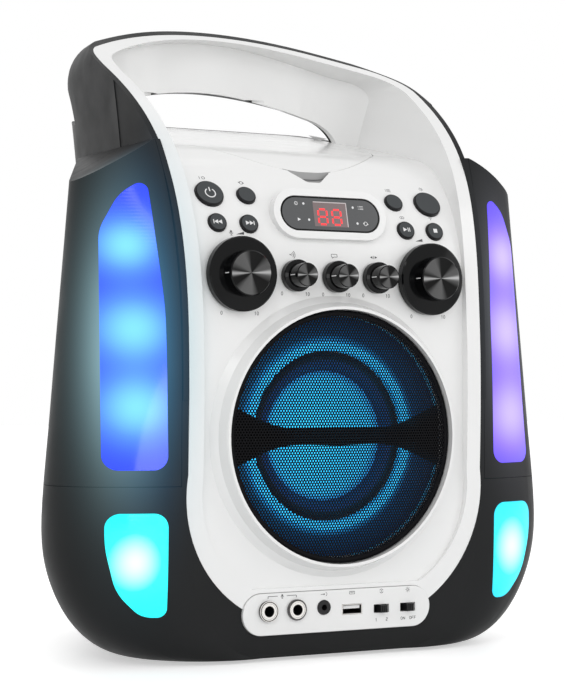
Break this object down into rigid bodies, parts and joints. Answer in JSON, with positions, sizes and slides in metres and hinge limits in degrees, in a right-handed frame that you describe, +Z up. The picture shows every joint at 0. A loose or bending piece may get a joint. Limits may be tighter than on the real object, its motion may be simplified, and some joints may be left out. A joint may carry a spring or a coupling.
{
  "type": "portable karaoke machine",
  "caption": "Portable karaoke machine with a flip-up disc lid under a leaning carry-handle hood, a round lit speaker, lit wings, knobs, buttons and a front jack plate.",
  "frame": {"origin": "centre of the bounding box in plan, at the underside of the feet", "axes": "+X to the right seen from the front, -Y out of the front, +Z up"},
  "size_m": [0.325, 0.221, 0.3923],
  "materials": {
    "aluminium": "bare extrusion",
    "black_abs": "satin charcoal ABS",
    "black_gloss": "gloss black",
    "black_rubber": "soft black rubber",
    "black_satin": "satin black ABS",
    "blue_lens": "clear blue, lit",
    "blue_plastic": "dark blue",
    "circuit_board": "green solder mask",
    "cone_paper": "pressed paper",
    "cyan_lens": "clear cyan, lit",
    "dark_steel": "zinc-plated steel",
    "display_lens": "smoked clear",
    "grey_abs": "grey ABS",
    "grey_rubber": "dark grey soft-touch",
    "grille_steel": "black perforated steel",
    "magnet": "ferrite",
    "nickel": "nickel plate",
    "violet_lens": "clear violet, lit",
    "white_abs": "gloss white ABS"
  },
  "bodies": {
    "case": {"aux_jack": "black_abs", "bridge_bar": "black_gloss", "button_board": "circuit_board", "case_screws": "dark_steel", "dc_inlet": "black_abs", "disc_well": "grey_abs", "display_module": "black_abs", "display_window": "display_lens", "feet": "black_rubber", "front_baffle": "white_abs", "guide_rods": "nickel", "heat_sink": "aluminium", "jack_board": "circuit_board", "jack_plate": "white_abs", "knob_board": "circuit_board", "left_light_board": "circuit_board", "left_lower_light": "cyan_lens", "left_upper_light": "blue_lens", "left_wing_cover": "black_abs", "lid_hinge_pin": "dark_steel", "light_reflector": "blue_plastic", "light_ring": "blue_lens", "main_board": "circuit_board", "main_shell": "black_abs", "microphone_jacks": "black_abs", "microphone_nuts": "nickel", "potentiometers": "dark_steel", "rear_cover": "black_abs", "right_light_board": "circuit_board", "right_lower_light": "cyan_lens", "right_upper_light": "violet_lens", "right_wing_cover": "black_abs", "speaker_basket": "dark_steel", "speaker_cone": "cone_paper", "speaker_grille": "grille_steel", "speaker_magnet": "magnet", "speaker_surround": "black_rubber", "spindle_motor": "dark_steel", "switch_bodies": "black_abs", "usb_socket": "nickel"},
    "disc_lid_body": {"disc_lid": "white_abs"},
    "disc_hub_body": {"disc_hub": "black_satin"},
    "pickup_sled_body": {"pickup_sled": "black_satin"},
    "power_button_body": {"power_button": "grey_rubber"},
    "repeat_button_body": {"repeat_button": "grey_rubber"},
    "previous_button_body": {"previous_button": "grey_rubber"},
    "next_button_body": {"next_button": "grey_rubber"},
    "program_button_body": {"program_button": "grey_rubber"},
    "light_show_button_body": {"light_show_button": "grey_rubber"},
    "play_button_body": {"play_button": "grey_rubber"},
    "stop_button_body": {"stop_button": "grey_rubber"},
    "microphone_volume_knob_body": {"microphone_volume_knob": "black_gloss"},
    "master_volume_knob_body": {"master_volume_knob": "black_gloss"},
    "echo_knob_body": {"echo_knob": "black_gloss"},
    "talk_over_knob_body": {"talk_over_knob": "black_gloss"},
    "balance_knob_body": {"balance_knob": "black_gloss"},
    "function_switch_body": {"function_switch": "black_satin"},
    "light_switch_body": {"light_switch": "black_satin"}
  },
  "joints": [
    {"name": "lid_hinge", "type": "hinge", "parent": "case", "child": "disc_lid_body", "pos_m": [0, 0.0885, 0.3246], "axis": [-1, 0, 0], "range_deg": [0, 50]},
    {"name": "disc_spin", "type": "hinge", "parent": "case", "child": "disc_hub_body", "pos_m": [0, 0.0181, 0.30228], "axis": [0, -0.2096, 0.9778], "continuous": true},
    {"name": "pickup_travel", "type": "slide", "parent": "case", "child": "pickup_sled_body", "axis": [1, 0, 0], "range_m": [0, 0.03]},
    {"name": "power_button_press", "type": "slide", "parent": "case", "child": "power_button_body", "axis": [0, 0.8281, -0.5606], "range_m": [0, 0.0012], "stiffness_N_per_m": 900, "springref_m": -0.0006},
    {"name": "repeat_button_press", "type": "slide", "parent": "case", "child": "repeat_button_body", "axis": [0, 0.8281, -0.5606], "range_m": [0, 0.0012], "stiffness_N_per_m": 900, "springref_m": -0.0006},
    {"name": "previous_button_press", "type": "slide", "parent": "case", "child": "previous_button_body", "axis": [0, 0.9191, -0.3939], "range_m": [0, 0.0012], "stiffness_N_per_m": 900, "springref_m": -0.0006},
    {"name": "next_button_press", "type": "slide", "parent": "case", "child": "next_button_body", "axis": [0, 0.9191, -0.3939], "range_m": [0, 0.0012], "stiffness_N_per_m": 900, "springref_m": -0.0006},
    {"name": "program_button_press", "type": "slide", "parent": "case", "child": "program_button_body", "axis": [0, 0.8281, -0.5606], "range_m": [0, 0.0012], "stiffness_N_per_m": 900, "springref_m": -0.0006},
    {"name": "light_show_button_press", "type": "slide", "parent": "case", "child": "light_show_button_body", "axis": [0, 0.8281, -0.5606], "range_m": [0, 0.0012], "stiffness_N_per_m": 900, "springref_m": -0.0006},
    {"name": "play_button_press", "type": "slide", "parent": "case", "child": "play_button_body", "axis": [0, 0.9191, -0.3939], "range_m": [0, 0.0012], "stiffness_N_per_m": 900, "springref_m": -0.0006},
    {"name": "stop_button_press", "type": "slide", "parent": "case", "child": "stop_button_body", "axis": [0, 0.9191, -0.3939], "range_m": [0, 0.0012], "stiffness_N_per_m": 900, "springref_m": -0.0006},
    {"name": "microphone_volume_knob_turn", "type": "hinge", "parent": "case", "child": "microphone_volume_knob_body", "pos_m": [-0.0632, -0.1, 0.2216], "axis": [0, -1, 0], "range_deg": [-145, 145]},
    {"name": "master_volume_knob_turn", "type": "hinge", "parent": "case", "child": "master_volume_knob_body", "pos_m": [0.0632, -0.1, 0.2216], "axis": [0, -1, 0], "range_deg": [-145, 145]},
    {"name": "echo_knob_turn", "type": "hinge", "parent": "case", "child": "echo_knob_body", "pos_m": [-0.0271, -0.1, 0.2216], "axis": [0, -1, 0], "range_deg": [-145, 145]},
    {"name": "talk_over_knob_turn", "type": "hinge", "parent": "case", "child": "talk_over_knob_body", "pos_m": [0, -0.1, 0.2216], "axis": [0, -1, 0], "range_deg": [-145, 145]},
    {"name": "balance_knob_turn", "type": "hinge", "parent": "case", "child": "balance_knob_body", "pos_m": [0.0271, -0.1, 0.2216], "axis": [0, -1, 0], "range_deg": [-145, 145]},
    {"name": "function_switch_slide", "type": "slide", "parent": "case", "child": "function_switch_body", "axis": [1, 0, 0], "range_m": [-0.0026, 0.0026]},
    {"name": "light_switch_slide", "type": "slide", "parent": "case", "child": "light_switch_body", "axis": [1, 0, 0], "range_m": [-0.0026, 0.0026]}
  ]
}
